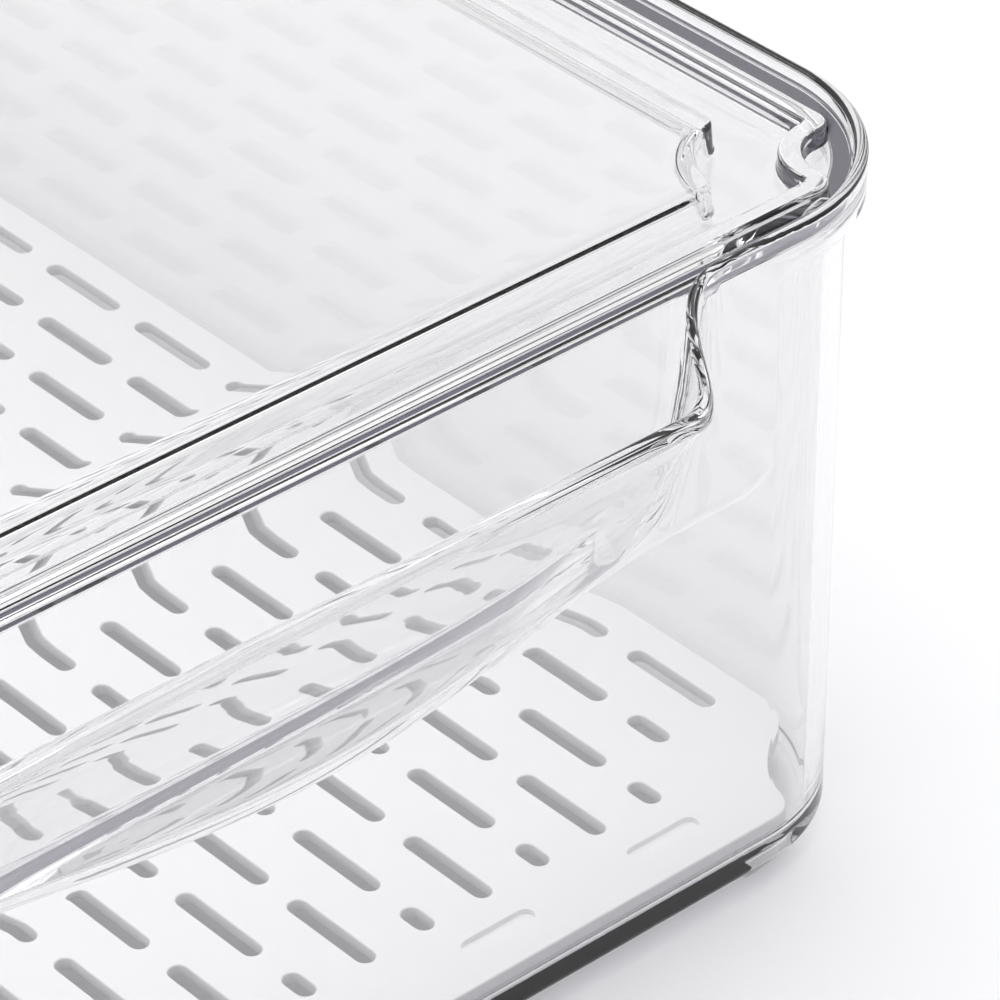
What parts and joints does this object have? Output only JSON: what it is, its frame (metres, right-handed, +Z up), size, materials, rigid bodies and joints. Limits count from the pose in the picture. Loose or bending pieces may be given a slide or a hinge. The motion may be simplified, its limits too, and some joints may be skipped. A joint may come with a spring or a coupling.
{
  "type": "fridge bin",
  "caption": "Clear stackable refrigerator storage bin with an outward front pull pocket, a lift-off ridged lid and a slotted white drain tray.",
  "frame": {"origin": "under the middle of the whole object, on the surface that the feet stand on", "axes": "+X to the right across the front, -Y out of the front handle, +Z up"},
  "size_m": [0.228, 0.3368, 0.1095],
  "materials": {
    "clear_bin": "clear moulded plastic, glossy",
    "clear_lid": "clear moulded plastic, glossy",
    "white_tray": "fine satin moulded texture"
  },
  "bodies": {
    "bin": {"bin": "clear_bin"},
    "lid": {"lid": "clear_lid"},
    "tray": {"drain_tray": "white_tray"}
  },
  "joints": [
    {"name": "lid_lift", "type": "slide", "parent": "bin", "child": "lid", "axis": [0, 0, 1], "range_m": [0, 0.12]},
    {"name": "tray_lift", "type": "slide", "parent": "bin", "child": "tray", "axis": [0, 0, 1], "range_m": [0, 0.085]}
  ]
}
